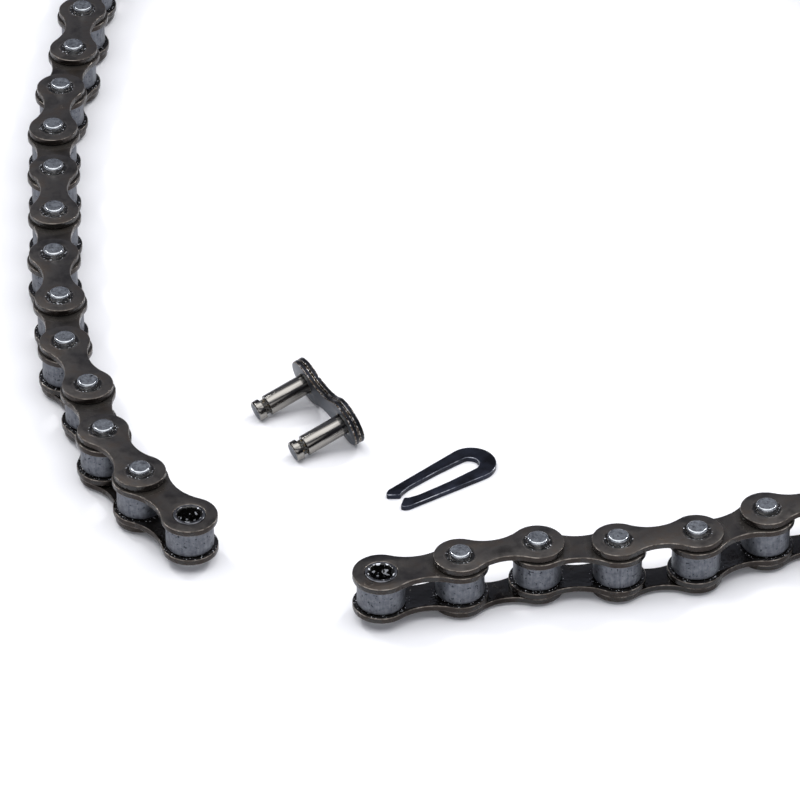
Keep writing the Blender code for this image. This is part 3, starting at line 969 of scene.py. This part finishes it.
@dataclass
class ChainMaker:
    """Dresses every link of the strand with its real pieces."""

    strand: Strand
    inner_r: float = 4.55 * MM
    inner_waist: float = 2.85 * MM
    outer_r: float = 4.2 * MM
    outer_waist: float = 2.3 * MM
    roller_r: float = 3.875 * MM
    bush_r: float = 2.6 * MM
    bore_r: float = 1.86 * MM
    pin_r: float = 1.73 * MM
    seam: float = 0.03 * MM
    roller_play: float = 0.12 * MM
    bush_stand: float = 0.1 * MM
    head_round: float = 0.38 * MM
    head_rise: float = 0.3 * MM
    head_dish: float = 0.04 * MM
    head_share: float = 0.95
    bush_round: float = 0.15 * MM
    bush_mouth: float = 0.3 * MM
    roller_gap: float = 0.08 * MM
    roller_round: float = 0.3 * MM
    oil_margin: float = 0.1 * MM

    def model_masters(self) -> None:
        """Model one piece of each kind."""
        s = self.strand
        self.inner_plate = Plate(self.inner_r, self.inner_waist, self.bush_r + self.seam, s.plate_t).model(
            "inner_plate_master", s.pitch, INNER_PLATE, PLATE_EDGE, SHADED_PLATE_WALL)
        self.outer_plate = Plate(self.outer_r, self.outer_waist, self.pin_r + self.seam, s.plate_t).model(
            "outer_plate_master", s.pitch, OUTER_PLATE, PLATE_EDGE, SHADED_PLATE_WALL)
        lower, upper = s.inner_heights[Level.LOWER], s.inner_heights[Level.UPPER]
        low, high = lower - self.bush_stand, upper + s.plate_t + self.bush_stand
        oily_r = (self.bore_r + self.bush_r) / 2 - self.oil_margin

        def bush_layer(co: Vector) -> Layer:
            """Return the finish of a bush's face: oil inside the bore, bare steel outside it."""
            return Layer.SECOND if co.xy.length < oily_r else Layer.MAIN

        self.bush = Turned([(self.bush_r, high), (self.bush_r, low), (self.bore_r, low), (self.bore_r, high)],
                           {0: self.bush_round, 1: self.bush_round, 2: self.bush_mouth,
                            3: self.bush_mouth}, True, layer=bush_layer).model("bush_master", BUSH, BORE_OIL)
        low, high = lower + s.plate_t + self.roller_play, upper - self.roller_play
        bore_r = self.bush_r + self.roller_gap
        self.roller = Turned([(self.roller_r, high), (self.roller_r, low), (bore_r, low), (bore_r, high)],
                             {0: self.roller_round, 1: self.roller_round}, True).model("roller_master",
                                                                                      ROLLER)
        dish_r = self.pin_r - self.head_round
        top = s.top + self.head_rise

        def pin_layer(co: Vector) -> Layer:
            """Return the finish of a pin's face: dull on its two struck ends, bright elsewhere."""
            return Layer.SECOND if co.xy.length < dish_r else Layer.MAIN

        rounding = self.head_round * self.head_share
        self.pin = Turned([(0, top - self.head_dish), (dish_r, top), (self.pin_r, top), (self.pin_r, 0),
                           (dish_r, 0), (0, self.head_dish)], {2: rounding, 3: rounding}, False,
                          layer=pin_layer).model("pin_master", CHAIN_PIN, RIVET_END)

    def plate_finish(self, number: int, level: Level) -> Finish:
        """Choose the finish of a plate's faces: lower plates are soaked and painted darker as shade, end
        plates are free of grime and painted shade at their open end.

        Args:
            number: the link's number.
            level: which of its two plates.

        Returns:
            The finish.
        """
        if level is Level.LOWER:
            return SOAKED_SHADED_PLATE
        if number == 1:
            return FIRST_PLATE
        if number == self.strand.links:
            return LAST_PLATE
        return INNER_PLATE if self.strand.is_inner(number) else OUTER_PLATE

    def node_of(self, number: int, piece: str) -> str:
        """Look up the CAD node that a piece of a link stands for.

        Args:
            number: the link's number.
            piece: the piece's own part of the name, such as roller_a.

        Returns:
            The node's name.
        """
        last = self.strand.links
        if number == last:
            return f"right_end_{piece}"
        if number == last - 1:
            return f"outer_link_{number}_{piece}"
        if number == 1:
            return f"left_end_{piece}" if piece.startswith("roller") else "left_end_link_frame"
        return f"{'inner' if self.strand.is_inner(number) else 'outer'}_link_{number:02d}"

    def build_link(self, number: int) -> None:
        """Dress one link with its plates, and its bushes and rollers or its pins.

        Args:
            number: the link's number.
        """
        s = self.strand
        inner = s.is_inner(number)
        prefix = f"{'inner' if inner else 'outer'}_link_{number:02d}"
        place = s.place(number)
        master, finish = (self.inner_plate, INNER_PLATE) if inner else (self.outer_plate, OUTER_PLATE)
        for level, height in (s.inner_heights if inner else s.outer_heights).items():
            piece = f"{level.value}_plate"
            plate = put(master, f"{prefix}_{piece}", place @ Matrix.Translation((0, 0, height)),
                        s.body(number), self.node_of(number, piece))
            plate.data.materials[Layer.MAIN.value] = self.plate_finish(number, level).material()
        for side, offset in ((Side.A, 0.0), (Side.B, s.pitch)):
            spot = place @ Matrix.Translation((offset, 0, 0))
            kinds = ((("bush", self.bush, s.body(number), BUSH),
                      ("roller", self.roller, self.roller_body(number, side), ROLLER))
                     if inner else (("pin", self.pin, s.body(number), CHAIN_PIN),))
            for kind, turned, body, look in kinds:
                piece = f"{kind}_{side.value}"
                put(turned, f"{prefix}_{piece}", spot, body, self.node_of(number, piece))

    def roller_body(self, number: int, side: Side) -> str:
        """Look up the body that a roller turns with: its own on the two end links, or its link's.

        Args:
            number: the link's number.
            side: which of its two rollers.

        Returns:
            The body's name.
        """
        if number == 1:
            return f"left_end_roller_{side.value}"
        if number == self.strand.links:
            return f"right_end_roller_{side.value}"
        return self.strand.body(number)

    def build(self) -> None:
        """Model the masters, dress every link and clear the masters away."""
        self.model_masters()
        for number in range(1, self.strand.links + 1):
            self.build_link(number)
        for master in (self.inner_plate, self.outer_plate, self.bush, self.roller, self.pin):
            bpy.data.objects.remove(master)


@dataclass
class ConnectingLink:
    """The loose link that closes the chain: a plate with two grooved pins, and a plate slid on to them."""

    strand: Strand
    end_r: float = 4.1 * MM
    waist_r: float = 2.3 * MM
    pin_r: float = 1.75 * MM
    exposed: float = 9.6 * MM
    plate_t: float = 0.85 * MM
    gap: float = 0.06 * MM
    seam: float = 0.03 * MM
    rivet: float = 0.35 * MM
    groove_r: float = 1.3 * MM
    groove: float = 1.0 * MM
    disc: float = 1.25 * MM
    edge: float = 0.17 * MM
    end_round: float = 0.3 * MM
    rim_round: float = 0.08 * MM
    sides: int = 64

    def place(self) -> Matrix:
        """Find the middle of the cover plate, with the pins along local Z and the plates along local X.

        Returns:
            The matrix that takes a master there.
        """
        s = self.strand
        a, b = s.middle("connecting_link_pin_a"), s.middle("connecting_link_pin_b")
        along = (b - a).normalized()
        out = s.slide_axis.normalized()
        turn = Matrix((along, out.cross(along), out)).transposed().to_4x4()
        return Matrix.Translation(s.middle("connecting_link_cover_plate")) @ turn

    def build_plates(self, place: Matrix) -> None:
        """Model the fixed plate and the cover plate, close together.

        Args:
            place: the middle of the cover plate.
        """
        s = self.strand
        plate = Plate(self.end_r, self.waist_r, self.pin_r + self.seam, self.plate_t, self.edge).model(
            "connecting_plate_master", s.pitch, BLUED_FACE, PAINTED_GLINT_BLUED_EDGE, SHADED_BLUED_WALL)
        cover = -self.plate_t / 2
        fixed = cover - self.gap - self.plate_t
        for node, body, height in (("connecting_link_plate", "connecting_link", fixed),
                                   ("connecting_link_cover_plate", "cover_plate", cover)):
            shift = Matrix.Translation((-s.pitch / 2, 0, height))
            put(plate, f"{node}_finished", place @ shift, body, node)
        bpy.data.objects.remove(plate)

    def build_pins(self, place: Matrix) -> None:
        """Model both grooved pins: disc end, groove, shank and the riveted end behind the fixed plate.

        Args:
            place: the middle of the cover plate.
        """
        top = self.plate_t / 2 + self.exposed
        upper = top - self.disc
        lower = upper - self.groove
        bottom = -self.plate_t * 1.5 - self.gap - self.rivet
        profile = [(0, top), (self.pin_r, top), (self.pin_r, upper), (self.groove_r, upper),
                   (self.groove_r, lower), (self.pin_r, lower), (self.pin_r, bottom), (0, bottom)]

        def pin_layer(co: Vector) -> Layer:
            """Return a pin face's finish: oil in the groove, dull on the end, drawn steel elsewhere."""
            in_groove = lower - SKIN < co.z < upper + SKIN and co.xy.length < self.pin_r - SKIN
            return Layer.SECOND if in_groove else Layer.THIRD if co.z > top - SKIN else Layer.MAIN

        pin = Turned(profile, {1: self.end_round, 2: self.rim_round, 5: self.rim_round, 6: self.end_round},
                     False, self.sides, layer=pin_layer).model("connecting_pin_master", CONNECTING_PIN,
                                                               GROOVE_OIL, PIN_END)
        for side, offset in ((Side.A, -self.strand.pitch / 2), (Side.B, self.strand.pitch / 2)):
            node = f"connecting_link_pin_{side.value}"
            shift = Matrix.Translation((offset, 0, 0))
            put(pin, f"{node}_finished", place @ shift, "connecting_link", node)
        bpy.data.objects.remove(pin)

    def build(self) -> None:
        """Build the whole link where the frame has it."""
        place = self.place()
        self.build_plates(place)
        self.build_pins(place)


@dataclass
class SpringClip:
    """The flat hairpin that locks the connecting link's loose plate.

    The mouth and the throat are the corners of the upper leg's tip, outside and inside, in millimetres.
    """

    turn: float = 38.5
    length: float = 20.2 * MM
    bend_r: float = 4.1 * MM
    slot_r: float = 1.65 * MM
    slot_end: float = 17.3 * MM
    thickness: float = 0.9 * MM
    edge: float = 0.09 * MM
    bend_steps: int = 40
    swing: float = 95.0
    mouth: tuple[Point, ...] = ((1.0, 2.75), (0.2, 2.3), (0.0, 1.75), (1.7, 0.45))
    throat: tuple[Point, ...] = ((2.3, 0.85), (4.0, 1.3), (10.0, 1.65))
    mouth_round: float = 0.22 * MM
    throat_round: float = 0.6 * MM
    corner_steps: int = 3

    def model(self) -> Piece:
        """Model the clip along X with its mouth at the origin.

        Returns:
            The clip.
        """
        bend = self.length - self.bend_r
        slot = self.slot_end - self.slot_r
        swing = radians(self.swing)
        mouth, throat = ([(x * MM, y * MM) for x, y in corners] for corners in (self.mouth, self.throat))
        lower_mouth, lower_throat = ([(x, -y) for x, y in corners[::-1]] for corners in (mouth, throat))
        bench = Bench("spring_clip_finished", lower_mouth[0])
        for corner in lower_mouth[1:]:
            bench.line_to(corner)
        bench.line_to((bend + self.bend_r * cos(swing), -self.bend_r * sin(swing)))
        bench.arc_round((bend, 0), 2 * swing, self.bend_steps)
        for corner in mouth + throat:
            bench.line_to(corner)
        bench.line_to((slot, self.slot_r))
        bench.arc_round((slot, 0), -pi, self.bend_steps // 2)
        for corner in lower_throat:
            bench.line_to(corner)
        bench.close_loop(lower_throat[-1], lower_mouth[0])
        bench.round_corners(mouth[1:] + lower_mouth[:3], self.mouth_round, self.corner_steps)
        bench.round_corners([throat[1], lower_throat[1]], self.throat_round, self.corner_steps)
        bench.fill_and_raise(self.thickness)
        clip = bench.done()
        dress(clip, BLUED, BLUED_EDGE)
        soften(clip, self.edge)
        smooth(clip, PLATE_CREASE)
        return clip

    def build(self) -> None:
        """Model the clip and lay it where the frame has it."""
        clip = self.model()
        clip.data.transform(Matrix.Rotation(radians(self.turn), 4, "Z"))
        corners = [v.co for v in clip.data.vertices]
        middle = [(min(c[i] for c in corners) + max(c[i] for c in corners)) / 2 for i in (0, 1)]
        target = Strand.middle("spring_clip")
        clip.data.transform(Matrix.Translation((target.x - middle[0], target.y - middle[1], 0)))
        assign(clip, "spring_clip", "spring_clip")


# ---- studio


@dataclass(frozen=True)
class Lamp:
    """A soft lamp: its name, where it hangs, where it points, its two sides and its radiance."""

    name: str
    place: tuple[float, float, float]
    aim: tuple[float, float, float]
    sides: tuple[float, float]
    radiance: float

    def hang(self) -> None:
        """Hang the lamp and aim it."""
        data = bpy.data.lights.new(self.name, "AREA")
        data.shape = "RECTANGLE"
        data.size, data.size_y = self.sides
        data.energy = self.radiance * pi * data.size * data.size_y
        lamp = bpy.data.objects.new(self.name, data)
        lamp.location = self.place
        aim = Vector(self.aim) - Vector(self.place)
        lamp.rotation_euler = aim.to_track_quat("-Z", "Y").to_euler()
        lamp.visible_camera = False
        bpy.context.scene.collection.objects.link(lamp)


LAMPS = (
    Lamp("overhead_softbox", (0.0, -0.16, 0.95), (0.0, -0.16, 0.0), (1.6, 0.96), 2.35),
    Lamp("front_softbox", (0.0, -1.3, 0.7), (0.0, 0.0, 0.0), (1.4, 0.6), 1.6),
    Lamp("left_strobe", (-0.6, 0.5, 0.85), (0.0, 0.0, 0.0), (0.14, 0.14), 46.0),
    Lamp("right_strobe", (0.6, 0.5, 0.85), (0.0, 0.0, 0.0), (0.14, 0.14), 46.0),
)


@dataclass
class Studio:
    """Pale table, soft light from above with a darker room behind, and the camera."""

    strand: Strand
    stand: tuple[float, float, float] = (33.4645 * MM, -686.88 * MM, 544.48 * MM)
    look_down: float = 36.757
    lens: float = 246.83
    sensor: float = 36.0
    floor_side: float = 6.0
    floor_colour: str = "#f4f4f6"
    floor_rough: float = 0.9
    floor_specular: float = 0.1
    room_colour: tuple[float, float, float] = (0.79, 0.83, 1.0)
    room_light: float = 0.27

    def build(self) -> None:
        """Set up the floor, the lamps, the room and the camera."""
        self.add_floor()
        for lamp in LAMPS:
            lamp.hang()
        self.add_room()
        self.add_camera()
        bpy.context.scene.view_settings.view_transform = "Standard"

    def add_floor(self) -> None:
        """Lay a plain white table top at height 0."""
        deselect_all()
        bpy.ops.mesh.primitive_plane_add(size=self.floor_side, location=(0, 0, 0))
        floor = bpy.context.object
        floor.name = "table_top"
        paint = bpy.data.materials.new("matt_white_table_paint")
        paint.use_nodes = True
        shader = paint.node_tree.nodes["Principled BSDF"]
        shader.inputs["Base Color"].default_value = linear(self.floor_colour)
        shader.inputs["Roughness"].default_value = self.floor_rough
        shader.inputs["Specular IOR Level"].default_value = self.floor_specular
        floor.data.materials.append(paint)

    def add_room(self) -> None:
        """Give the room a faint cool light of its own."""
        world = bpy.data.worlds.new("studio_room")
        world.use_nodes = True
        background = world.node_tree.nodes["Background"]
        background.inputs["Color"].default_value = (*self.room_colour, 1.0)
        background.inputs["Strength"].default_value = self.room_light
        bpy.context.scene.world = world

    def add_camera(self) -> None:
        """Stand the camera in front of the open ends, looking down along +Y."""
        data = bpy.data.cameras.new("camera")
        data.lens = self.lens
        data.sensor_width = self.sensor
        camera = bpy.data.objects.new("camera", data)
        open_end = self.strand.pins[0]
        camera.location = Vector((open_end.x, open_end.y, 0)) + Vector(self.stand)
        camera.rotation_euler = (radians(90 - self.look_down), 0, 0)
        bpy.context.scene.collection.objects.link(camera)
        bpy.context.scene.camera = camera


def main() -> None:
    """Build every sub-assembly and the studio."""
    logging.basicConfig(level=logging.INFO, format="%(name)s: %(message)s")
    strand = Strand()
    ChainMaker(strand).build()
    ConnectingLink(strand).build()
    SpringClip().build()
    Studio(strand).build()


if __name__ == "__main__":
    main()
